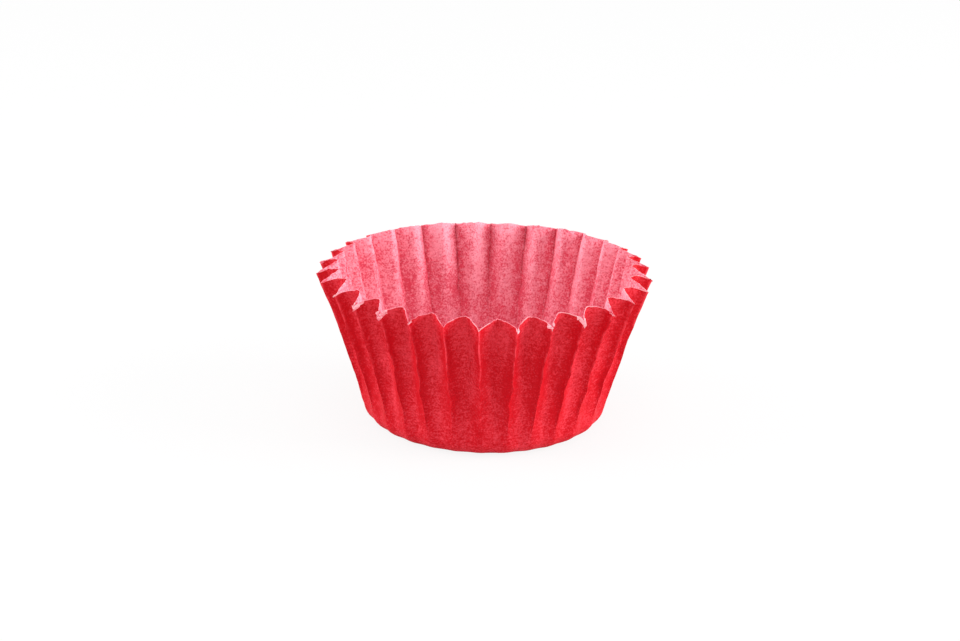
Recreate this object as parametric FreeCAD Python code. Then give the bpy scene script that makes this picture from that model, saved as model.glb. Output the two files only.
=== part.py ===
"""Paper candy cup: one disc of thin paper, pressed into a flat base and a pleated, flaring wall.

Lengths are in millimetres and angles in degrees.  The cup stands on the XY plane with its axis
on +Z, and the middle of a valley on +X.

The base is a flat polygon with one side to a pleat.  A round corner turns it up into the wall,
where creases fan out from each of the polygon's corners: a sharp ridge outside, and on either
side of it a steep flank, a few narrow strips that bend it round, and the floor of a valley.
Every panel of the wall is flat, so it is a shape that a sheet of paper takes by folding.
"""
import FreeCAD, Part
import os
from math import asin, cos, degrees, pi, radians, sin, tan
from FreeCAD import Vector

# Alias, value and meaning of each driving size.
SIZES = (
    ("pleat_count", 30, "ridges round the wall"),
    ("base_width", 27.3, "flat of the base, between opposite sides of its polygon"),
    ("corner_radius", 2.9, "outside bend between the base and the wall"),
    ("wall_length", 18.7, "paper from the corner to the rim"),
    ("valley_lean", 9.7, "lean of a valley's floor from upright"),
    ("ridge_lean", 17.6, "lean of a ridge from upright"),
    ("ridge_half_angle", 13, "between a flank and the upright plane through its ridge"),
    ("bend_strips", 3, "flat strips that turn a valley's floor into a flank"),
    ("bend_roundness", 0.9, "how widely they spread: 0 for not at all, 1 for all that fits"),
    ("paper_thickness", 0.07, "one layer of the paper"),
)

# Points nearer to each other than this are one point.
SAME_POINT = 1e-6

CENTRE = Vector(0, 0, 0)
OUT = Vector(1, 0, 0)
SIDEWAYS = Vector(0, 1, 0)
UP = Vector(0, 0, 1)


def add_sizes(doc):
    """Put the driving sizes in a spreadsheet, one named cell each."""
    sheet = doc.addObject("Spreadsheet::Sheet", "sizes")
    for line, (alias, value, meaning) in enumerate(SIZES, start=1):
        sheet.set(f"A{line}", alias)
        sheet.set(f"B{line}", str(value))
        sheet.set(f"C{line}", meaning)
        sheet.setAlias(f"B{line}", alias)
    doc.recompute()
    return sheet


def turned(direction, towards, angle):
    """A unit direction, turned by an angle towards another one."""
    side = (towards - direction * towards.dot(direction)).normalize()
    return direction * cos(angle) + side * sin(angle)


def square_to(direction, axis):
    """What is left of a direction when its part along a unit axis is taken away."""
    return direction - axis * axis.dot(direction)


def meeting_point(*planes):
    """Point where three planes meet, each given as its normal and its distance from the centre."""
    (first, a), (second, b), (third, c) = planes
    sides = second.cross(third) * a + third.cross(first) * b + first.cross(second) * c
    return sides / first.dot(second.cross(third))


def flat_face(points):
    """Flat face with straight sides, where points that fall together count once."""
    pairs = zip(points, points[-1:] + points[:-1])
    corners = [point for point, last in pairs if not point.isEqual(last, SAME_POINT)]
    return Part.Face(Part.makePolygon(corners + corners[:1]))


class Pleat:
    """One pleat about +X, whose half with y above 0 runs from the valley's middle to a ridge.

    A skin of the paper is its outside, or its inside when it is inset by the paper's thickness.
    """

    def __init__(self, sizes):
        self.half_turn = pi / sizes.pleat_count
        self.corner_radius = sizes.corner_radius
        self.corner_middle = OUT * (sizes.base_width / 2) + UP * sizes.corner_radius
        self.corner_turn = pi / 2 - radians(sizes.valley_lean)

        # The valley's floor and the flank as their outward normals, and the ridge as its line.
        ridge_out = turned(OUT, SIDEWAYS, self.half_turn)
        across_ridge = turned(SIDEWAYS, OUT * -1, self.half_turn)
        ridge = turned(UP, ridge_out, radians(sizes.ridge_lean))
        floor = turned(OUT, UP * -1, radians(sizes.valley_lean))
        flank = turned(across_ridge * -1, across_ridge.cross(ridge), radians(sizes.ridge_half_angle))
        self.floor = floor
        self.foot = self.corner_top(0)

        # The strips between them touch a cone with its point at the ridge's foot.  It may reach
        # from the crease that they replace to the middle of the valley's rim, and to the ridge.
        crease = flank.cross(floor).normalize()
        reach_over_floor = asin(self.foot.y / sizes.wall_length) - asin(-crease.y)
        reach_over_flank = crease.getAngle(ridge)
        reach = sizes.bend_roundness * min(reach_over_floor, reach_over_flank)
        floor_edge = turned(crease, SIDEWAYS * -1, reach)
        flank_edge = turned(crease, ridge, reach)
        opening = floor_edge.dot(flank) / (1 - floor.dot(flank))
        axis = (floor_edge + floor * opening).normalize()
        from_floor = square_to(floor, axis)
        to_flank = square_to(flank, axis)
        step = from_floor.getAngle(to_flank) / (sizes.bend_strips + 1)
        spin = FreeCAD.Rotation(from_floor.cross(to_flank), degrees(step))

        self.panels = [floor]
        for _ in range(int(sizes.bend_strips)):
            self.panels.append(spin.multVec(self.panels[-1]))
        self.panels.append(flank)
        self.middle_plane = (SIDEWAYS, 0)
        self.ridge_plane = (across_ridge, 0)
        self.rim_plane = (axis, axis.dot(self.foot + floor_edge * sizes.wall_length))

    def corner_top(self, inset):
        """Where the round corner meets the wall on the ridge's plane."""
        top = self.corner_middle + self.floor * (self.corner_radius - inset)
        return top + SIDEWAYS * (top.x * tan(self.half_turn))

    def panel_planes(self, inset):
        """Planes of the half pleat's panels, from the valley's floor to the flank."""
        return [(panel, panel.dot(self.foot) - inset) for panel in self.panels]

    def rim_points(self, inset):
        """Corners of a skin along the rim, from the valley's middle to the ridge."""
        planes = [self.middle_plane] + self.panel_planes(inset) + [self.ridge_plane]
        return [meeting_point(a, b, self.rim_plane) for a, b in zip(planes, planes[1:])]

    def ridge_points(self, inset):
        """Corners of a skin up the ridge's plane, from the round corner to the rim."""
        planes = self.panel_planes(inset)
        starts = [meeting_point(a, b, self.ridge_plane) for a, b in zip(planes, planes[1:])]
        return [self.corner_top(inset)] + starts + self.rim_points(inset)[-1:]

    def wall_faces(self, inset):
        """The valley's floor, and the other panels on both sides of it."""
        rim = self.rim_points(inset)
        ridge = self.ridge_points(inset)
        side = [ridge[0], ridge[1], rim[1], rim[0]]
        floor = flat_face(side + [Vector(p.x, -p.y, p.z) for p in reversed(side)])
        half = [
            flat_face([ridge[place], ridge[place + 1], rim[place + 1], rim[place]])
            for place in range(1, len(self.panels))
        ]
        return [floor] + both_sides(half)

    def rim_faces(self, thickness):
        """The cut edge of the paper, on both sides of the valley's middle."""
        return both_sides([flat_face(self.rim_points(0) + self.rim_points(thickness)[::-1])])

    def corner_face(self, inset):
        """The round corner below the valley, cut off at the planes of the ridges beside it."""
        reach = self.foot.x
        start = self.corner_middle - UP * (self.corner_radius - inset) - SIDEWAYS * reach
        across = Part.makeLine(start, start + SIDEWAYS * (2 * reach))
        band = across.revolve(self.corner_middle, SIDEWAYS * -1, degrees(self.corner_turn))
        far = self.foot * 2
        sector = flat_face([CENTRE, Vector(far.x, -far.y, 0), Vector(far.x, far.y, 0)])
        wedge = sector.extrude(UP * (2 * reach)).translated(UP * -reach)
        return band.common(wedge).Faces[0]


def both_sides(faces):
    """Faces of half a pleat, and their mirror images across the valley's middle."""
    return faces + [face.mirror(CENTRE, SIDEWAYS) for face in faces]


def base_face(sizes, height):
    """One side of the flat base."""
    count = int(sizes.pleat_count)
    half_turn = pi / count
    reach = sizes.base_width / 2 / cos(half_turn)
    angles = [half_turn * (2 * number + 1) for number in range(count)]
    return flat_face([Vector(reach * cos(angle), reach * sin(angle), height) for angle in angles])


def candy_cup(sizes):
    """The whole cup as one solid: the base, then the faces of one pleat carried all the way round."""
    count = int(sizes.pleat_count)
    pleat = Pleat(sizes)
    faces = []
    around = pleat.rim_faces(sizes.paper_thickness)
    for inset in (0, sizes.paper_thickness):
        faces.append(base_face(sizes, inset))
        around += [pleat.corner_face(inset)] + pleat.wall_faces(inset)
    for number in range(count):
        faces += [face.rotated(CENTRE, UP, 360 * number / count) for face in around]
    skin = Part.makeCompound(faces)
    skin.sewShape()
    solid = Part.Solid(skin.Shells[0])
    if solid.Volume < 0:
        solid.reverse()
    return solid


def add_part(doc, label, shape):
    """Add a finished shape to the document under its own name."""
    part = doc.addObject("Part::Feature", label)
    part.Label = label
    part.Shape = shape
    part.Placement = FreeCAD.Placement()
    return part


def check(doc, parts):
    """Stop if any object failed, or any part isn't one sound solid."""
    for item in doc.Objects:
        if "Invalid" in item.State or "Error" in item.State:
            raise RuntimeError(f"{item.Label} failed: {item.State}")
    for part in parts:
        shape = part.Shape
        if shape.isNull() or not shape.isValid() or len(shape.Solids) != 1:
            raise RuntimeError(f"{part.Label} is not one valid solid")


def main():
    doc = FreeCAD.newDocument("paper_candy_cup")
    sizes = add_sizes(doc)
    parts = [add_part(doc, "candy_cup", candy_cup(sizes))]
    doc.recompute()
    check(doc, parts)
    os.makedirs("parts", exist_ok=True)
    for part in parts:
        part.Shape.exportStep(f"parts/{part.Label}.step")
        print(part.Label, part.Shape.BoundBox, f"{part.Shape.Volume:.1f} mm3")


main()
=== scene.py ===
"""Pleated paper candy cup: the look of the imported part, and the plain stage that it stands on.

The cup is pressed from one disc of thin paper, dyed red outside and paler within.  Its wall is
drawn up ring by ring as a plain round cup, and its pleats are then pushed in from the outside.
"""

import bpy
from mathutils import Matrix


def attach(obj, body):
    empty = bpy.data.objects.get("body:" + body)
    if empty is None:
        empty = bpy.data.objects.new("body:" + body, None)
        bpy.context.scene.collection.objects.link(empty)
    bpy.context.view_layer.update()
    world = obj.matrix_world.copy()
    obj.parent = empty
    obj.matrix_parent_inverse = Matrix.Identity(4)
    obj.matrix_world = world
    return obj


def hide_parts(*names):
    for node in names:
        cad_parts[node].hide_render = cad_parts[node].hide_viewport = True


bl_info = {
    "name": "Paper candy cup",
    "version": (1, 0, 0),
    "blender": (4, 5, 0),
    "location": "View3D > Sidebar > Candy Cup",
    "description": "Adds a pleated paper candy cup and a plain stage to show it on",
    "category": "Add Mesh",
}

from math import atan2, cos, hypot, pi, radians, remainder, sin
from random import Random

import bmesh
import bpy
from bpy.props import FloatProperty, FloatVectorProperty, IntProperty, PointerProperty
from mathutils import Matrix, Vector

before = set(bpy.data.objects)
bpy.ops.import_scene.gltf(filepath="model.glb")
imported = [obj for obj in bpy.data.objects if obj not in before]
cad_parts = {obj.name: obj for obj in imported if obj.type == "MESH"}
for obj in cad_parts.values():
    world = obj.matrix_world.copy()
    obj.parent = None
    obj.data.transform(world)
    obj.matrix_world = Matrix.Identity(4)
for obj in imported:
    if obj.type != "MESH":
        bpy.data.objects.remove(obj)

MM = 0.001

# ------------------------------------------------ the cup's mesh

# Vertices across one pleat, and rings up its round corner and its wall.
COLUMNS = 16
CORNER_RINGS = 9
WALL_RINGS = 44
# Radii of the rings inside the flat base, as shares of its own.
BASE_RINGS = (0.93, 0.84, 0.7, 0.5, 0.25)
# How much of the spacing of the columns is even.  The rest crowds to the ridges and the valley.
EVEN_SPACING = 0.4
# Edges that bend by less than this are shaded smooth.
SMOOTH_BELOW = radians(40)

# ------------------------------------------------ how its pleats differ

# The folds crowd together and spread apart in waves round the cup: how many waves, by how
# many degrees, and where the first of them peaks.
SPACING_WAVES = ((1, 0.9, 38), (2, 1.15, -41), (3, 1.5, 5))
# Ridges that stand aside of their waves: their numbers, and by how many degrees.
RIDGE_SHIFTS = {16: -0.6, 17: 0.4, 20: -0.9, 23: 1.0, 24: 0.7, 26: -1.2, 27: -1.2}
# The least and the most that chance adds: in degrees to where a ridge stands, and in shares to a
# pleat's depth, the middle of its valley, how open its halves are, and how round its valley is.
RIDGE_CHANCE = (-0.2, 0.2)
DEPTH_CHANCE = (-0.04, 0.04)
MIDDLE_CHANCE = (-0.06, 0.06)
OPEN_CHANCE = (-0.07, 0.07)
ROUND_CHANCE = (-0.06, 0.1)
# Pleats at the cup's left and right are deeper than those at its front and back, by this share.
SIDE_DEPTH = 0.19
# Where the valley's middle is between its ridges, at -1 and 1, and how far it moves over at the
# cup's left and right.
VALLEY_MIDDLE = 0.05
SIDE_MIDDLE = -0.2
# Power of the curve of each half of a fold, before and after the valley's middle: the usual
# one, and by how much one half goes up and the other down at the cup's left and right.
OPEN_HALVES = (0.6, 0.65)
SIDE_OPEN = (0.3, 0.32)
# How round the bottom of a valley is, how much less so at the cup's left and right, and at least.
ROUND_VALLEY = 0.25
SIDE_ROUND = -0.25
LEAST_ROUND = 0.03
# The pleat that has been pinched to a point, and how round it is.
POINTED_PLEAT = 22
POINTED_ROUND = 0.02
# How much less crisp the folds at the back of the cup are.
BACK_SOFTNESS = 0.45
# How far up the paper a soft fold starts to turn crisp, and over how much more of it, in shares.
CRISP_FROM = 0.12
CRISP_OVER = 0.25
# Power of the curve by which the folds deepen up the wall.
DEEPENING = 1.25
# No pleat is deeper than this many times the usual depth.
DEEPEST = 1.6

# ------------------------------------------------ what handling did to it, in millimetres

# Where the rim has been pushed: degrees round the cup, the move, and its reach.
RIM_MOVES = (
    (0, (-0.3, 0, 0), 11),
    (180, (-0.25, 0, 0), 16),
    (-41, (0.3, 0.25, 0), 5),
    (-75, (0, 0, -0.15), 9),
    (95, (0, 0, -0.4), 14),
)
# Kinks in each ridge: their size, the least and the most of it that chance gives, their reach,
# and the shares of the wall's height between which each of them stands.
KINK_SIZE = 0.22
KINK_CHANCE = (0.4, 1.2)
KINK_REACH = 1.1
KINK_HEIGHTS = ((0.32, 0.42), (0.45, 0.58))
# Unevenness all over the wall, coarse to fine: how wide it is, and how strong.
CRUMPLES = ((7, 0.45), (2.2, 0.16), (0.9, 0.07))
# It grows to its full strength over this many times the corner's radius, along the paper.
CRUMPLE_GROWTH = 2

# ------------------------------------------------ what the cutter did to its rim, in millimetres

# How far the cut wanders.
ROUGH_CUT = 0.11
# It tore the ridges' tips in waves round the cup: how many, and where one of them peaks.
TEAR_WAVES = 5
TEAR_PEAK = radians(-60)
# How fast the tearing grows towards the front, the least of it elsewhere, and what chance adds.
TEAR_FRONT = 1.7
LEAST_TORN = 0.2
TEAR_CHANCE = (-0.1, 0.2)
# A tip more torn than this one is torn across more of the rim.
BADLY_TORN = 0.8
# Steps in which a torn tip is pulled down: the least torn that takes it, how much wider round
# the cup it gets, and its drop.
TEAR_STEPS = (
    (0.05, 1.008, 0.06),
    (0.2, 1.003, 0.13),
    (0.4, 0.998, 0.15),
    (0.6, 0.998, 0.16),
    (0.8, 0.998, 0.16),
)
# How much less torn the rim is for each radian round the cup from a ridge.
TEAR_TAPER = 25
# How far a shred's corners stray at each step.
TEAR_SPREAD = 0.22

# ------------------------------------------------ the paper's finish, in metres

# Numbers of the cup's materials, after the outer face's, which is 0.
SKIN_IN, CUT_EDGE = 1, 2

# Patterns of the paper, as cells to the metre: single fibres, clumps and dashes of them, broad
# streaks up the wall, crinkles, patches of wear on the folds, and stretches of the pale cut.
GRAIN = 4200
CLUMPS = 1300
DASHES = 1100
STREAKS = 380
CRINKLES = 800
WORN_PATCHES = 700
CUT_STRETCHES = 380
# How strongly the finer parts of a harsh pattern show.
HARSH = 0.6
# How much some are squeezed in height: above 1 they come out lower than they are wide.
LOW_AND_WIDE = 3
TALL_AND_NARROW = 0.35
# How far the fibres' patterns are moved aside, so that the point where all their grids meet is
# off the paper.
GRID_SHIFT = (0.37 * MM, 0.53 * MM, 0.41 * MM)
# The share of single fibres in the mottle, and the height in it above which a fibre is pale:
# with no density, and how much full density and a full streak take off.
SINGLE_FIBRES = 0.38
PALE_ABOVE = 0.59
DENSITY_DROP = -0.2
STREAK_DROP = -0.3

# Two values of a pattern, and what is made of each of them: how much wear shows in its patches,
# how much of the pale cut shows in its stretches, and how rough the paper is over its mottle.
PATCH_RANGE = (0.4, 0.6, 0.15, 1.0)
STRETCH_RANGE = (0.44, 0.58, 0.05, 0.75)
ROUGHNESS_RANGE = (0.3, 0.7, 0.6, 0.8)
# Strength and height of the bumps that fibres and crinkles make, and how much the paper shines.
FIBRE_BUMP = (0.6, 0.05 * MM)
CRINKLE_BUMP = (0.5, 0.13 * MM)
SHEEN = 0.12

# Distances over which the marks of folding and cutting fade, and the painted shade next to the
# folds, from a ridge or from the rim.
WORN_WIDTH = 0.4 * MM
WORN_DOWN = (1 * MM, 13 * MM)
# Painted shade in the folds: next to a ridge and near the rim, fewer pale fibres are drawn, so that
# the dye shows darker and deeper red, as the shade in a fold would.
FOLD_SHADE_ACROSS = (0.5 * MM, 2 * MM)
FOLD_SHADE_DOWN = (13 * MM, 21 * MM)
MOUTH_DOWN = (0.5 * MM, 6 * MM)
CUT_WIDTH = (0.03 * MM, 0.12 * MM)
# The cut is clean at the cup's left, where this share of its pale core shows, except at the tips
# of the ridges.
CLEAN_LEFT = (-10 * MM, -5 * MM)
CLEAN_SHARE = 0.1
TIP_WIDTH = (0.6 * MM, 1.3 * MM)

# ------------------------------------------------ the stage, in metres

# How far the floor is below the cup's base, so that the two don't flicker.
FLOOR_DROP = 0.02 * MM
# The share of the floor that glows white to the camera.
FLOOR_GLOW = 0.88
# Side of each lamp, where they stand, and what they face.
LAMP_SIZE = 0.3
LEFT_PLACE = (-0.42, -0.04, 0.17)
RIGHT_PLACE = (0.42, -0.04, 0.16)
TOP_PLACE = (0.0, -0.1, 0.5)
LAMP_TARGET = (0, 0, 10 * MM)
# What the camera looks at, before it is turned round the cup with it, how far round that is, and
# how far the camera is tilted.
CAMERA_TARGET = (-0.75 * MM, 0, 13.1 * MM)
CAMERA_ASIDE = radians(0.8)
CAMERA_TILT = radians(1.15)
# Focal length, sensor width in millimetres, and the nearest that it sees.
LENS = 90.9
SENSOR_WIDTH = 36
NEAREST = 10 * MM


class CupSizes(bpy.types.PropertyGroup):
    """Sizes of the cup."""

    pleats: IntProperty(name="Pleats", description="Ridges round the wall", default=30, min=8)
    first_ridge: FloatProperty(
        name="First ridge",
        description="Where the first ridge stands, round from the X axis",
        default=radians(6),
        subtype="ANGLE",
    )
    base_radius: FloatProperty(
        name="Base radius",
        description="Radius of the flat base",
        default=13.65 * MM,
        unit="LENGTH",
    )
    corner_radius: FloatProperty(
        name="Corner radius",
        description="Bend between the base and the wall",
        default=2.9 * MM,
        unit="LENGTH",
    )
    wall_length: FloatProperty(
        name="Wall length",
        description="Paper along a ridge, from the corner to the rim",
        default=18.6 * MM,
        unit="LENGTH",
    )
    lean: FloatProperty(
        name="Lean",
        description="How far the ridges lean out from upright, halfway up",
        default=radians(17.9),
        subtype="ANGLE",
    )
    flare: FloatProperty(
        name="Flare",
        description="How much more they lean at the rim, and how much less at the corner",
        default=radians(3.5),
        subtype="ANGLE",
    )
    pleat_depth: FloatProperty(
        name="Pleat depth",
        description="Depth of a valley at the rim",
        default=2.48 * MM,
        unit="LENGTH",
    )
    paper_thickness: FloatProperty(
        name="Paper thickness",
        description="One layer of the paper",
        default=0.07 * MM,
        unit="LENGTH",
    )
    unevenness: FloatProperty(
        name="Unevenness",
        description="How far the pleats differ from each other, 0 for not at all",
        default=1.0,
        min=0.0,
        subtype="FACTOR",
    )
    seed: IntProperty(name="Seed", description="Picks another set of uneven pleats", default=7)


class PaperColours(bpy.types.PropertyGroup):
    """Colours of the paper."""

    outside: FloatVectorProperty(
        name="Outside",
        description="Dyed outer face",
        default=(0.545, 0.0, 0.007),
        subtype="COLOR",
    )
    outside_fibre: FloatVectorProperty(
        name="Outside fibres",
        description="Fibres that show through the dye",
        default=(0.78, 0.048, 0.072),
        subtype="COLOR",
    )
    inside: FloatVectorProperty(
        name="Inside",
        description="Inner face, where less dye shows",
        default=(0.72, 0.08, 0.135),
        subtype="COLOR",
    )
    inside_fibre: FloatVectorProperty(
        name="Inside fibres",
        description="Pale fibres on the inner face",
        default=(1.0, 0.43, 0.52),
        subtype="COLOR",
    )
    fold: FloatVectorProperty(
        name="Worn folds",
        description="Dye rubbed thin along the ridges",
        default=(1.0, 0.09, 0.125),
        subtype="COLOR",
    )
    edge: FloatVectorProperty(
        name="Cut edge",
        description="Undyed core of the paper",
        default=(0.98, 0.46, 0.5),
        subtype="COLOR",
    )


class StageSettings(bpy.types.PropertyGroup):
    """Floor, lamps and camera."""

    floor_size: FloatProperty(
        name="Floor size", description="Side of the floor", default=3.0, unit="LENGTH"
    )
    floor_colour: FloatVectorProperty(
        name="Floor colour",
        description="Plain pale floor",
        default=(0.8, 0.8, 0.8),
        subtype="COLOR",
    )
    daylight: FloatProperty(
        name="Daylight", description="Strength of the even light all round", default=0.73, min=0.0
    )
    left_lamp: FloatProperty(
        name="Left lamp", description="Power of the lamp on the left", default=1.3, unit="POWER"
    )
    right_lamp: FloatProperty(
        name="Right lamp", description="Power of the lamp on the right", default=2.0, unit="POWER"
    )
    top_lamp: FloatProperty(
        name="Top lamp", description="Power of the lamp overhead", default=0.55, unit="POWER"
    )
    camera_distance: FloatProperty(
        name="Camera distance",
        description="From the middle of the view to the camera",
        default=323 * MM,
        unit="LENGTH",
    )
    camera_height: FloatProperty(
        name="Camera height",
        description="How far the camera looks down, from level",
        default=radians(20.1),
        subtype="ANGLE",
    )


# ---------------------------------------------------------------- modelling by hand


def edit(piece):
    """Make a piece the only selected one and open it in edit mode."""
    bpy.ops.object.select_all(action="DESELECT")
    piece.select_set(True)
    bpy.context.view_layer.objects.active = piece
    bpy.ops.object.mode_set(mode="EDIT")
    bpy.ops.mesh.select_mode(type="VERT")


def close(piece):
    """Leave edit mode, and give the piece back."""
    bpy.ops.object.mode_set(mode="OBJECT")
    return piece


def pick(piece, numbers):
    """Select these vertices of a piece in edit mode, and no others."""
    mesh = bmesh.from_edit_mesh(piece.data)
    mesh.verts.ensure_lookup_table()
    bpy.ops.mesh.select_all(action="DESELECT")
    for number in numbers:
        mesh.verts[number].select = True
    mesh.select_flush_mode()
    bmesh.update_edit_mesh(piece.data)


def picked(piece):
    """Number and place of each vertex selected in a piece in edit mode."""
    mesh = bmesh.from_edit_mesh(piece.data)
    mesh.verts.index_update()
    return [(vertex.index, vertex.co.copy()) for vertex in mesh.verts if vertex.select]


def turn(angle):
    """Turn what is selected anticlockwise about the cup's axis, seen from above."""
    bpy.ops.transform.rotate(value=-angle, orient_axis="Z", center_override=(0, 0, 0))


def widen(grow, height=0):
    """Make what is selected wider by a factor round the cup's axis, and no taller."""
    bpy.ops.transform.resize(value=(grow, grow, 1), center_override=(0, 0, height))


def nudge(offset, reach, falloff="SMOOTH"):
    """Move what is selected, and draw what lies within reach along with it."""
    bpy.ops.transform.translate(
        value=offset,
        use_proportional_edit=True,
        proportional_edit_falloff=falloff,
        proportional_size=reach,
    )


def apply_modifiers(piece):
    """Apply every modifier, from the top down."""
    bpy.ops.object.select_all(action="DESELECT")
    piece.select_set(True)
    bpy.context.view_layer.objects.active = piece
    for modifier in list(piece.modifiers):
        bpy.ops.object.modifier_apply(modifier=modifier.name)


# ---------------------------------------------------------------- the cup's form


def ease(share):
    """A share from 0 to 1, eased in and out."""
    return share * share * (3 - 2 * share)


class Pleat:
    """How one pleat differs from the next, by its place round the cup and by chance."""

    def __init__(self, number, angle, draw, unevenness):
        side = cos(angle)
        self.depth = 1 + unevenness * (SIDE_DEPTH * side**2 + draw.uniform(*DEPTH_CHANCE))
        wander = VALLEY_MIDDLE + SIDE_MIDDLE * side**2 + draw.uniform(*MIDDLE_CHANCE)
        self.middle = unevenness * wander
        before = SIDE_OPEN[0] * side + draw.uniform(*OPEN_CHANCE)
        after = SIDE_OPEN[1] * side + draw.uniform(*OPEN_CHANCE)
        self.openness = (
            OPEN_HALVES[0] + unevenness * before,
            OPEN_HALVES[1] - unevenness * after,
        )
        spread = draw.uniform(*ROUND_CHANCE) + SIDE_ROUND * side**2
        self.roundness = max(ROUND_VALLEY + unevenness * spread, LEAST_ROUND)
        if number == POINTED_PLEAT:
            self.roundness = POINTED_ROUND
        self.crispness = 1 - unevenness * BACK_SOFTNESS * max(sin(angle), 0)

    def fold(self, across):
        """Depth of a crisp fold, from 0 at its ridges, at -1 and 1, to about 1 in the valley."""
        if across < self.middle:
            away = (self.middle - across) / (1 + self.middle)
            power = self.openness[0]
        else:
            away = (across - self.middle) / (1 - self.middle)
            power = self.openness[1]
        full = hypot(1, self.roundness) - self.roundness
        away = (hypot(away, self.roundness) - self.roundness) / full
        return self.depth * max(1 - away, 0) ** power


def ridge_angles(sizes, draw):
    """Angle of each ridge round the cup, with the first one again at the end."""
    angles = []
    for number in range(sizes.pleats):
        even = sizes.first_ridge + 2 * pi * number / sizes.pleats
        wander = sum(
            size * cos(count * even - radians(peak)) for count, size, peak in SPACING_WAVES
        )
        wander += draw.uniform(*RIDGE_CHANCE) + RIDGE_SHIFTS.get(number, 0)
        angles.append(even + radians(wander) * sizes.unevenness)
    return angles + [angles[0] + 2 * pi]


def place_across(column, middle):
    """Where a column stands across its pleat, from -1 to 1, with one in the middle of the valley.

    They crowd towards the ridges and the valley.
    """
    share = 2 * column / COLUMNS
    near = min(share, 2 - share)
    from_ridge = EVEN_SPACING * near + (1 - EVEN_SPACING) * ease(near)
    if share <= 1:
        return from_ridge * (1 + middle) - 1
    return 1 - from_ridge * (1 - middle)


def torn_share(angle):
    """How badly the cutter tore the rim at an angle round the cup, from 0 to 1: most in front."""
    front = min(max(-TEAR_FRONT * sin(angle), LEAST_TORN), 1)
    return front * (1 + cos(TEAR_WAVES * (angle - TEAR_PEAK))) / 2


def ridge_line(sizes):
    """Radius, height and paper length of each ring up a ridge, from the flat base to the rim."""
    rings = [(sizes.base_radius, 0.0, 0.0)]
    turn_up = pi / 2 - sizes.lean + sizes.flare
    for number in range(1, CORNER_RINGS + 1):
        angle = turn_up * number / CORNER_RINGS
        out = sizes.base_radius + sizes.corner_radius * sin(angle)
        rings.append((out, sizes.corner_radius * (1 - cos(angle)), sizes.corner_radius * angle))
    step = sizes.wall_length / WALL_RINGS
    for number in range(WALL_RINGS):
        lean = sizes.lean + sizes.flare * (2 * (number + 0.5) / WALL_RINGS - 1)
        radius, height, length = rings[-1]
        rings.append((radius + step * sin(lean), height + step * cos(lean), length + step))
    return rings


class CupForm:
    """The round cup before and after its pleats are pushed in."""

    def __init__(self, sizes):
        self.sizes = sizes
        self.draw = Random(sizes.seed)
        self.ridges = ridge_angles(sizes, self.draw)
        self.pleats = [
            Pleat(number, (start + end) / 2, self.draw, sizes.unevenness)
            for number, (start, end) in enumerate(zip(self.ridges, self.ridges[1:]))
        ]
        self.tears = [
            sizes.unevenness * (torn_share(angle) + self.draw.uniform(*TEAR_CHANCE))
            for angle in self.ridges[:-1]
        ]
        self.rings = ridge_line(sizes)
        self.length = self.rings[-1][2]
        self.around = sizes.pleats * COLUMNS

    def rim_number(self, column):
        """Number of the rim's vertex at a column, counted either way past the first."""
        return (len(self.rings) - 1) * self.around + column % self.around

    def torn_at(self, place):
        """How badly the rim is torn at a place, by the ridge nearest to it and how far that is."""
        angle = atan2(place.y, place.x)
        gap, torn = min(
            (abs(remainder(angle - ridge, 2 * pi)), torn)
            for ridge, torn in zip(self.ridges, self.tears)
        )
        return torn - gap * TEAR_TAPER

    def column_angle(self, number):
        """Angle of a column round the cup."""
        pleat, column = divmod(number, COLUMNS)
        start, end = self.ridges[pleat], self.ridges[pleat + 1]
        return start + (end - start) * (place_across(column, self.pleats[pleat].middle) + 1) / 2

    def fold_depth(self, number, length):
        """How deep a column is pushed in at a length of paper up from the base's edge."""
        pleat, column = divmod(number, COLUMNS)
        across = place_across(column, self.pleats[pleat].middle)
        share = length / self.length
        crispness = ease(min(max((share - CRISP_FROM) / CRISP_OVER, 0), 1))
        crispness *= self.pleats[pleat].crispness
        soft = (1 + cos(pi * across)) / 2
        crisp = self.pleats[pleat].fold(across)
        return share**DEEPENING * (soft + (crisp - soft) * crispness)


def draw_up_cup(form):
    """A round cup of paper with no thickness, whose columns stand where the folds want them."""
    sizes = form.sizes
    bpy.ops.object.select_all(action="DESELECT")
    bpy.ops.mesh.primitive_circle_add(vertices=form.around, radius=sizes.base_radius)
    cup = bpy.context.object
    cup.name = cup.data.name = "pleated_paper_cup"
    edit(cup)
    for number in range(form.around):
        pick(cup, [number])
        [(_, place)] = picked(cup)
        turn(form.column_angle(number) - atan2(place.y, place.x))
    bpy.ops.mesh.select_all(action="SELECT")
    for (radius, height, _), (next_radius, next_height, _) in zip(form.rings, form.rings[1:]):
        bpy.ops.mesh.extrude_region_move(
            TRANSFORM_OT_translate={"value": (0, 0, next_height - height)}
        )
        widen(next_radius / radius, next_height)
    pick(cup, range(form.around))
    share = 1
    for next_share in BASE_RINGS:
        bpy.ops.mesh.extrude_region_move()
        widen(next_share / share)
        share = next_share
    bpy.ops.mesh.extrude_region_move()
    bpy.ops.mesh.merge(type="CENTER")
    bpy.ops.mesh.select_all(action="SELECT")
    bpy.ops.mesh.normals_make_consistent(inside=False)
    return close(cup)


def push_in_folds(cup, form):
    """Push the valleys of the pleats in from the outside, square to the round wall."""
    group = cup.vertex_groups.new(name="fold_depth")
    for ring, (_, _, length) in enumerate(form.rings):
        for number in range(form.around):
            share = form.fold_depth(number, length) / DEEPEST
            group.add([ring * form.around + number], share, "REPLACE")
    folds = cup.modifiers.new("Folds", "DISPLACE")
    folds.vertex_group = group.name
    folds.strength = -form.sizes.pleat_depth * DEEPEST
    folds.mid_level = 0
    apply_modifiers(cup)


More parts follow.
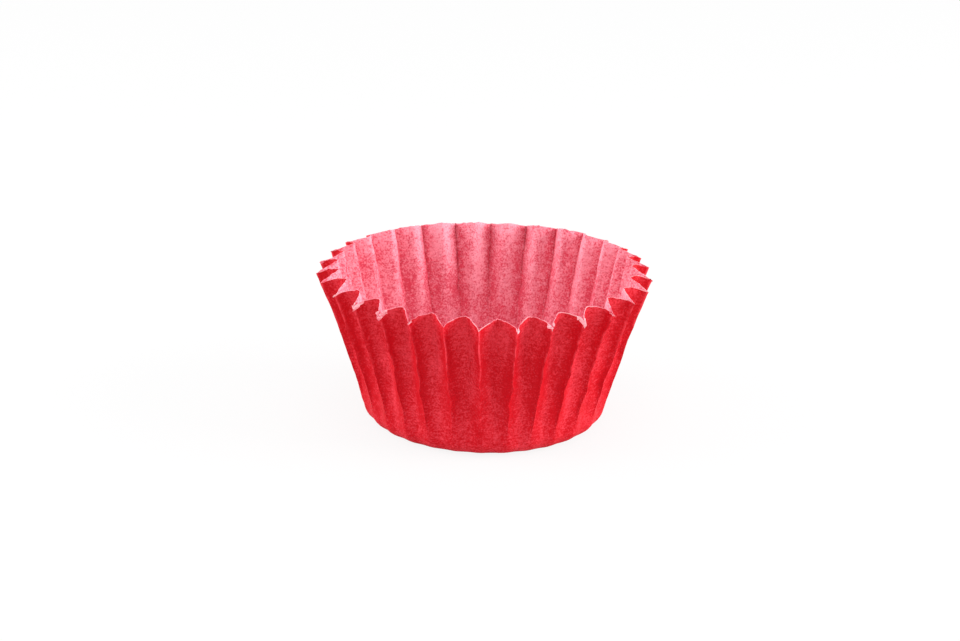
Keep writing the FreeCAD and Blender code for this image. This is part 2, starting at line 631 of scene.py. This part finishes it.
def push_rim(cup, form):
    """Move the rim where it has sagged or been pushed in, and the wall below along with it."""
    edit(cup)
    for angle, move, reach in RIM_MOVES:
        turns = (radians(angle) - form.ridges[0]) / (2 * pi)
        pick(cup, [form.rim_number(round(turns * form.around))])
        nudge(Vector(move) * MM * form.sizes.unevenness, reach * MM)
    close(cup)


def kink_ridges(cup, form):
    """Small sideways kinks, about halfway up each ridge, where the paper has been pinched."""
    size = KINK_SIZE * MM * form.sizes.unevenness
    edit(cup)
    for ridge in range(form.sizes.pleats):
        across = Vector((-sin(form.ridges[ridge]), cos(form.ridges[ridge]), 0))
        side = form.draw.choice((-1, 1))
        for heights in KINK_HEIGHTS:
            ring = CORNER_RINGS + round(form.draw.uniform(*heights) * WALL_RINGS)
            pick(cup, [ring * form.around + ridge * COLUMNS])
            kink = across * side * size * form.draw.uniform(*KINK_CHANCE)
            nudge(kink, KINK_REACH * MM, "LINEAR")
            side = -side
    close(cup)


def crumple(cup, form):
    """Soft unevenness all over, coarse and then fine, as thin paper has."""
    for size, strength in CRUMPLES:
        texture = bpy.data.textures.new("crumple", "CLOUDS")
        texture.noise_scale = size * MM
        texture.cloud_type = "COLOR"
        softness = cup.modifiers.new("Crumple", "DISPLACE")
        softness.texture = texture
        softness.texture_coords = "LOCAL"
        softness.direction = "RGB_TO_XYZ"
        softness.mid_level = 0.5
        softness.vertex_group = "wall"
        softness.strength = strength * MM * form.sizes.unevenness
    apply_modifiers(cup)


def roughen_rim(cup, form):
    """Leave the cut uneven along the whole rim."""
    edit(cup)
    pick(cup, range(form.rim_number(0), form.rim_number(0) + form.around))
    rough = ROUGH_CUT * MM * form.sizes.unevenness
    bpy.ops.transform.vertex_random(offset=rough, seed=form.sizes.seed)
    close(cup)


def tear_tips(cup, form):
    """Pull shreds of paper out of the rim at its ridges, and further where the cutter tore more."""
    lips = []
    for ridge, torn in enumerate(form.tears):
        reach = 1 if torn < BADLY_TORN else 2
        lips += [form.rim_number(ridge * COLUMNS + away) for away in range(-reach, reach + 1)]
    edit(cup)
    whole = len(cup.data.vertices)
    pick(cup, lips)
    for step, (least, grow, drop) in enumerate(TEAR_STEPS):
        torn = [number for number, place in picked(cup) if form.torn_at(place) > least]
        bpy.ops.mesh.select_mode(type="VERT")
        pick(cup, torn)
        # In edge mode, a vertex that is picked alone is left out of the extrusion.
        bpy.ops.mesh.select_mode(type="EDGE")
        bpy.ops.mesh.extrude_region_move(TRANSFORM_OT_translate={"value": (0, 0, -drop * MM)})
        widen(grow)
        bpy.ops.transform.vertex_random(offset=TEAR_SPREAD * MM, seed=form.sizes.seed + step)
    bpy.ops.mesh.select_mode(type="VERT")
    pick(cup, lips + list(range(whole, len(bmesh.from_edit_mesh(cup.data).verts))))
    cup.active_material_index = CUT_EDGE
    bpy.ops.object.material_slot_assign()
    close(cup)


def note_places(cup, form):
    """Keep how far each vertex is from the nearest ridge and from the rim, along the paper."""
    mesh = cup.data
    ridge_gap = mesh.attributes.new("ridge_gap", "FLOAT", "POINT").data
    rim_gap = mesh.attributes.new("rim_gap", "FLOAT", "POINT").data
    for item in rim_gap:
        item.value = form.length
    for item in ridge_gap:
        item.value = form.sizes.corner_radius
    for ring, (_, _, length) in enumerate(form.rings):
        first = ring * form.around
        for pleat in range(form.sizes.pleats):
            start = first + pleat * COLUMNS
            line = [start + column for column in range(COLUMNS)]
            line.append(first + (pleat + 1) * COLUMNS % form.around)
            steps = [
                (mesh.vertices[a].co - mesh.vertices[b].co).length for a, b in zip(line, line[1:])
            ]
            for column in range(COLUMNS):
                gap = min(sum(steps[:column]), sum(steps[column:]))
                ridge_gap[line[column]].value = gap
                rim_gap[line[column]].value = form.length - length


def paint_wall(cup, form):
    """The group that crumples: nothing on the flat base, and all of the wall."""
    group = cup.vertex_groups.new(name="wall")
    for ring, (_, _, length) in enumerate(form.rings):
        share = min(length / (CRUMPLE_GROWTH * form.sizes.corner_radius), 1)
        numbers = range(ring * form.around, (ring + 1) * form.around)
        group.add(list(numbers), share, "REPLACE")


def give_thickness(cup, form):
    """One layer of paper, its outer face where it was."""
    paper = cup.modifiers.new("Paper", "SOLIDIFY")
    paper.thickness = form.sizes.paper_thickness
    paper.offset = -1
    paper.material_offset = SKIN_IN
    paper.material_offset_rim = SKIN_IN
    apply_modifiers(cup)


class MakePleatedCup(bpy.types.Operator):
    """Add the pleated paper cup"""

    bl_idname = "mesh.make_pleated_paper_cup"
    bl_label = "Pleated Paper Cup"
    bl_options = {"REGISTER", "UNDO"}

    def execute(self, context):
        form = CupForm(context.scene.cup_sizes)
        cup = draw_up_cup(form)
        for material in paper_materials(context.scene.paper_colours):
            cup.data.materials.append(material)
        push_in_folds(cup, form)
        note_places(cup, form)
        paint_wall(cup, form)
        push_rim(cup, form)
        kink_ridges(cup, form)
        crumple(cup, form)
        roughen_rim(cup, form)
        tear_tips(cup, form)
        give_thickness(cup, form)
        bpy.ops.object.shade_smooth_by_angle(angle=SMOOTH_BELOW)
        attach(cup, "root")
        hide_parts("candy_cup")
        return {"FINISHED"}


# ---------------------------------------------------------------- the paper's finish


class Nodes:
    """Adds nodes to a tree and joins them up."""

    def __init__(self, tree):
        self.tree = tree

    def add(self, kind, inputs=(), **settings):
        """A new node, with some of its sockets joined or set."""
        node = self.tree.nodes.new(kind)
        for name, value in settings.items():
            setattr(node, name, value)
        for socket, value in dict(inputs).items():
            self.put(node.inputs[socket], value)
        return node

    def put(self, socket, value):
        """Join an output to a socket, or set the socket to a plain value."""
        if isinstance(value, bpy.types.NodeSocket):
            self.tree.links.new(value, socket)
        else:
            socket.default_value = value

    def math(self, operation, *values):
        """A sum, product or the like of some values."""
        return self.add("ShaderNodeMath", enumerate(values), operation=operation).outputs[0]

    def spread(self, value, low, high, to_low=0.0, to_high=1.0):
        """A value taken from one range to another, smoothly and no further."""
        inputs = {0: value, 1: low, 2: high, 3: to_low, 4: to_high}
        node = self.add("ShaderNodeMapRange", inputs, interpolation_type="SMOOTHSTEP")
        return node.outputs[0]

    def mix(self, share, first, second):
        """A colour between two others."""
        inputs = {0: share, 6: first, 7: second}
        return self.add("ShaderNodeMix", inputs, data_type="RGBA").outputs[2]

    def blend(self, share, first, second):
        """A number between two others."""
        inputs = {0: share, 2: first, 3: second}
        return self.add("ShaderNodeMix", inputs, data_type="FLOAT").outputs[0]

    def squeeze(self, place, factor):
        """Coordinates in which a pattern comes out lower by a factor."""
        inputs = {"Vector": place, "Scale": (1, 1, factor)}
        return self.add("ShaderNodeMapping", inputs).outputs[0]

    def bump(self, height, strength, distance, under=None):
        """The surface raised by a pattern, on top of another bump if there is one."""
        inputs = {"Strength": strength, "Distance": distance, "Height": height}
        if under is not None:
            inputs["Normal"] = under
        return self.add("ShaderNodeBump", inputs).outputs[0]

    def noise(self, vector, scale, detail=2.0, roughness=0.5):
        """A soft random pattern."""
        inputs = {"Vector": vector, "Scale": scale, "Detail": detail, "Roughness": roughness}
        return self.add("ShaderNodeTexNoise", inputs).outputs["Fac"]


def new_group(name, inputs, outputs):
    """An empty shader node group with these sockets."""
    tree = bpy.data.node_groups.new(name, "ShaderNodeTree")
    for socket, kind in inputs.items():
        tree.interface.new_socket(socket, in_out="INPUT", socket_type=kind)
    for socket, kind in outputs.items():
        tree.interface.new_socket(socket, in_out="OUTPUT", socket_type=kind)
    nodes = Nodes(tree)
    return nodes, nodes.add("NodeGroupInput"), nodes.add("NodeGroupOutput")


def fibre_group():
    """Mottle of the paper's fibres: a mask of the pale ones, and the height of them all."""
    nodes, given, result = new_group(
        "Paper fibres",
        {name: "NodeSocketFloat" for name in ("Density", "Dashes", "Softness")},
        {"Mask": "NodeSocketFloat", "Height": "NodeSocketFloat"},
    )
    place = nodes.add("ShaderNodeTexCoord").outputs["Object"]
    place = nodes.add("ShaderNodeMapping", {"Vector": place, "Location": GRID_SHIFT}).outputs[0]
    grain = nodes.noise(place, GRAIN, roughness=HARSH)
    clumps = nodes.noise(place, CLUMPS)
    dashes = nodes.noise(nodes.squeeze(place, LOW_AND_WIDE), DASHES, roughness=HARSH)
    coarse = nodes.blend(given.outputs["Dashes"], clumps, dashes)
    height = nodes.blend(SINGLE_FIBRES, grain, coarse)
    streaks = nodes.noise(nodes.squeeze(place, TALL_AND_NARROW), STREAKS)
    low = nodes.math("MULTIPLY_ADD", given.outputs["Density"], DENSITY_DROP, PALE_ABOVE)
    low = nodes.math("MULTIPLY_ADD", streaks, STREAK_DROP, low)
    high = nodes.math("ADD", low, given.outputs["Softness"])
    nodes.put(result.inputs["Mask"], nodes.spread(height, low, high))
    nodes.put(result.inputs["Height"], height)
    return nodes.tree


def wear_and_fold_shade_group():
    """Marks of folding and cutting, and painted shade in the folds, from the paper's distances to a
    ridge and to the rim.

    Ridge is the worn line along a fold and Rim the pale line of the cut.  The third output is
    painted shade: the paper next to a fold, near the rim, drawn darker as the shade in the fold
    would be.  Mouth is the paper just below the rim.
    """
    nodes, given, result = new_group(
        "Fold wear and painted shade",
        {"Width": "NodeSocketFloat"},
        {name: "NodeSocketFloat" for name in ("Ridge", "Rim", "Painted fold shade", "Mouth")},
    )
    ridge = nodes.add("ShaderNodeAttribute", attribute_name="ridge_gap").outputs["Fac"]
    rim = nodes.add("ShaderNodeAttribute", attribute_name="rim_gap").outputs["Fac"]
    place = nodes.add("ShaderNodeTexCoord").outputs["Object"]
    patches = nodes.spread(nodes.noise(place, WORN_PATCHES), *PATCH_RANGE)
    up = nodes.spread(rim, *WORN_DOWN, 1.0, 0.0)
    line = nodes.spread(ridge, 0.0, given.outputs["Width"], 1.0, 0.0)
    worn = nodes.math("MULTIPLY", nodes.math("MULTIPLY", line, patches), up)
    stretches = nodes.spread(nodes.noise(place, CUT_STRETCHES), *STRETCH_RANGE)
    across = nodes.add("ShaderNodeSeparateXYZ", {0: place}).outputs["X"]
    clean = nodes.spread(across, *CLEAN_LEFT, CLEAN_SHARE, 1.0)
    clean = nodes.math("MAXIMUM", clean, nodes.spread(ridge, *TIP_WIDTH, 1.0, 0.0))
    line = nodes.spread(rim, *CUT_WIDTH, 1.0, 0.0)
    cut = nodes.math("MULTIPLY", nodes.math("MULTIPLY", line, stretches), clean)
    # Painted shade: 1 at a ridge, fading away from it and down from the rim.
    painted_fold_shade = nodes.spread(ridge, *FOLD_SHADE_ACROSS, 1.0, 0.0)
    high = nodes.spread(rim, *FOLD_SHADE_DOWN, 1.0, 0.0)
    nodes.put(result.inputs["Ridge"], worn)
    nodes.put(result.inputs["Rim"], cut)
    nodes.put(result.inputs["Painted fold shade"], nodes.math("MULTIPLY", painted_fold_shade, high))
    nodes.put(result.inputs["Mouth"], nodes.spread(rim, *MOUTH_DOWN, 1.0, 0.0))
    return nodes.tree


def paper_material(
    name, marks, mottle, colours, density, dashes, softness, worn, fold_shade_share, mouth
):
    """Thin dyed paper.  Its colours are those of its dye, fibres, worn folds and cut edge.

    The pale fibres lie as thick as density says, thicker by mouth below the rim, and thinner next
    to a fold near the rim by the painted fold shade, which darkens the dye there as the shade in
    the fold would.  Dashes is the share of them that lie flat, softness how gently they fade into
    the dye, and worn how far the wear of the folds shows.
    """
    material = bpy.data.materials.new(name)
    material.use_nodes = True
    material.node_tree.nodes.clear()
    nodes = Nodes(material.node_tree)
    dye, fibre, fold, edge = [(*colour, 1) for colour in colours]
    folds = nodes.add("ShaderNodeGroup", node_tree=marks)
    folds.inputs["Width"].default_value = WORN_WIDTH
    paper = nodes.add("ShaderNodeGroup", node_tree=mottle)
    paper.inputs["Dashes"].default_value = dashes
    paper.inputs["Softness"].default_value = softness
    # Painted shade: fewer pale fibres next to the folds near the rim, so that the dye shows darker
    # there.
    painted_fold_shade = nodes.math("MULTIPLY", folds.outputs["Painted fold shade"], fold_shade_share)
    thick = nodes.math("MULTIPLY_ADD", folds.outputs["Mouth"], mouth, density)
    nodes.put(paper.inputs["Density"], nodes.math("SUBTRACT", thick, painted_fold_shade))
    colour = nodes.mix(paper.outputs["Mask"], dye, fibre)
    colour = nodes.mix(nodes.math("MULTIPLY", folds.outputs["Ridge"], worn), colour, fold)
    colour = nodes.mix(folds.outputs["Rim"], colour, edge)
    place = nodes.add("ShaderNodeTexCoord").outputs["Object"]
    place = nodes.squeeze(place, LOW_AND_WIDE)
    crinkles = nodes.noise(place, CRINKLES, detail=3.0, roughness=HARSH)
    height = paper.outputs["Height"]
    fine = nodes.bump(height, *FIBRE_BUMP)
    coarse = nodes.bump(crinkles, *CRINKLE_BUMP, fine)
    shader = nodes.add(
        "ShaderNodeBsdfPrincipled",
        {
            "Base Color": colour,
            "Roughness": nodes.spread(height, *ROUGHNESS_RANGE),
            "Specular IOR Level": SHEEN,
            "Normal": coarse,
        },
    )
    nodes.add("ShaderNodeOutputMaterial", {"Surface": shader.outputs[0]})
    return material


def paper_materials(colours):
    """Outer face, inner face and cut edge of the same paper."""
    mottle = fibre_group()
    marks = wear_and_fold_shade_group()
    edge = colours.edge
    outside = paper_material(
        "red_paper_outside",
        marks,
        mottle,
        (colours.outside, colours.outside_fibre, colours.fold, edge),
        density=0.36,
        dashes=0.6,
        softness=0.32,
        worn=0.8,
        # How strongly painted shade darkens the paper next to the folds.
        fold_shade_share=0.5,
        mouth=0.15,
    )
    inside = paper_material(
        "red_paper_inside",
        marks,
        mottle,
        (colours.inside, colours.inside_fibre, edge, edge),
        density=0.47,
        dashes=0.45,
        softness=0.3,
        worn=0.0,
        # How strongly painted shade darkens the paper next to the folds.
        fold_shade_share=0.35,
        mouth=0.12,
    )
    cut = paper_material(
        "cut_paper_edge",
        marks,
        mottle,
        (colours.inside, edge, edge, edge),
        density=0.5,
        dashes=0.5,
        softness=0.3,
        worn=0.0,
        fold_shade_share=0.0,
        mouth=0.0,
    )
    return outside, inside, cut


# ---------------------------------------------------------------- the stage


def seen_directly(nodes):
    """1 for what the camera sees straight, in a mirror or through glass, and 0 for its light."""
    path = nodes.add("ShaderNodeLightPath").outputs
    seen = nodes.math("MAXIMUM", path["Is Camera Ray"], path["Is Glossy Ray"])
    return nodes.math("MAXIMUM", seen, path["Is Transmission Ray"])


def light_world(stage):
    """Even daylight all round, in front of plain white."""
    world = bpy.data.worlds.new("daylight")
    bpy.context.scene.world = world
    world.use_nodes = True
    world.node_tree.nodes.clear()
    nodes = Nodes(world.node_tree)
    strength = nodes.spread(seen_directly(nodes), 0.0, 1.0, stage.daylight, 1.0)
    sky = nodes.add("ShaderNodeBackground", {"Color": (1, 1, 1, 1), "Strength": strength})
    nodes.add("ShaderNodeOutputWorld", {"Surface": sky.outputs[0]})


def floor_material(colour):
    """Pale floor that glows to the camera as white does, and still keeps shadows."""
    material = bpy.data.materials.new("pale_floor")
    material.use_nodes = True
    material.node_tree.nodes.clear()
    nodes = Nodes(material.node_tree)
    matt = nodes.add("ShaderNodeBsdfDiffuse", {"Color": (*colour, 1)})
    white = nodes.add("ShaderNodeEmission", {"Color": (1, 1, 1, 1), "Strength": 1.0})
    share = nodes.math("MULTIPLY", seen_directly(nodes), FLOOR_GLOW)
    both = nodes.add("ShaderNodeMixShader", {0: share, 1: matt.outputs[0], 2: white.outputs[0]})
    nodes.add("ShaderNodeOutputMaterial", {"Surface": both.outputs[0]})
    return material


def add_lamp(name, place, power):
    """A square lamp that faces the cup."""
    aim = (Vector(LAMP_TARGET) - Vector(place)).to_track_quat("-Z", "Y").to_euler()
    bpy.ops.object.light_add(type="AREA", location=place, rotation=aim)
    lamp = bpy.context.object
    lamp.name = name
    lamp.data.size = LAMP_SIZE
    lamp.data.energy = power


def add_camera(stage):
    """Camera in front of the cup, looking a little down, tilted by about a degree."""
    aside = Matrix.Rotation(CAMERA_ASIDE, 4, "Z")
    down = Matrix.Rotation(pi / 2 - stage.camera_height, 4, "X")
    aim = aside @ down @ Matrix.Rotation(CAMERA_TILT, 4, "Z")
    place = aside @ Vector(CAMERA_TARGET) + aim @ Vector((0, 0, stage.camera_distance))
    bpy.ops.object.camera_add(location=place, rotation=aim.to_euler())
    camera = bpy.context.object
    camera.data.lens = LENS
    camera.data.sensor_width = SENSOR_WIDTH
    camera.data.clip_start = NEAREST
    bpy.context.scene.camera = camera


class MakeStage(bpy.types.Operator):
    """Add the floor, the lamps, the daylight and the camera"""

    bl_idname = "scene.make_cup_stage"
    bl_label = "Plain Stage"
    bl_options = {"REGISTER", "UNDO"}

    def execute(self, context):
        stage = context.scene.cup_stage
        bpy.ops.object.select_all(action="DESELECT")
        bpy.ops.mesh.primitive_plane_add(size=stage.floor_size, location=(0, 0, -FLOOR_DROP))
        floor = context.object
        floor.name = "floor"
        floor.data.materials.append(floor_material(stage.floor_colour))
        light_world(stage)
        add_lamp("left_lamp", LEFT_PLACE, stage.left_lamp)
        add_lamp("right_lamp", RIGHT_PLACE, stage.right_lamp)
        add_lamp("top_lamp", TOP_PLACE, stage.top_lamp)
        add_camera(stage)
        context.scene.view_settings.view_transform = "Standard"
        return {"FINISHED"}


class CandyCupPanel(bpy.types.Panel):
    """Sizes, colours and operators of the candy cup"""

    bl_idname = "VIEW3D_PT_candy_cup"
    bl_label = "Candy Cup"
    bl_space_type = "VIEW_3D"
    bl_region_type = "UI"
    bl_category = "Candy Cup"

    def draw(self, context):
        scene = context.scene
        for settings, operator in (
            ((scene.cup_sizes, scene.paper_colours), MakePleatedCup),
            ((scene.cup_stage,), MakeStage),
        ):
            box = self.layout.box()
            for group in settings:
                for name in group.__annotations__:
                    box.prop(group, name)
            box.operator(operator.bl_idname)


CLASSES = (CupSizes, PaperColours, StageSettings, MakePleatedCup, MakeStage, CandyCupPanel)


def register():
    """Add the settings, the operators and the panel."""
    for item in CLASSES:
        bpy.utils.register_class(item)
    bpy.types.Scene.cup_sizes = PointerProperty(type=CupSizes)
    bpy.types.Scene.paper_colours = PointerProperty(type=PaperColours)
    bpy.types.Scene.cup_stage = PointerProperty(type=StageSettings)


def unregister():
    """Take them away again."""
    del bpy.types.Scene.cup_stage
    del bpy.types.Scene.paper_colours
    del bpy.types.Scene.cup_sizes
    for item in reversed(CLASSES):
        bpy.utils.unregister_class(item)


def main():
    """Make the cup and its stage."""
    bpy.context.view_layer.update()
    register()
    bpy.ops.mesh.make_pleated_paper_cup()
    bpy.ops.scene.make_cup_stage()


if __name__ == "__main__":
    main()
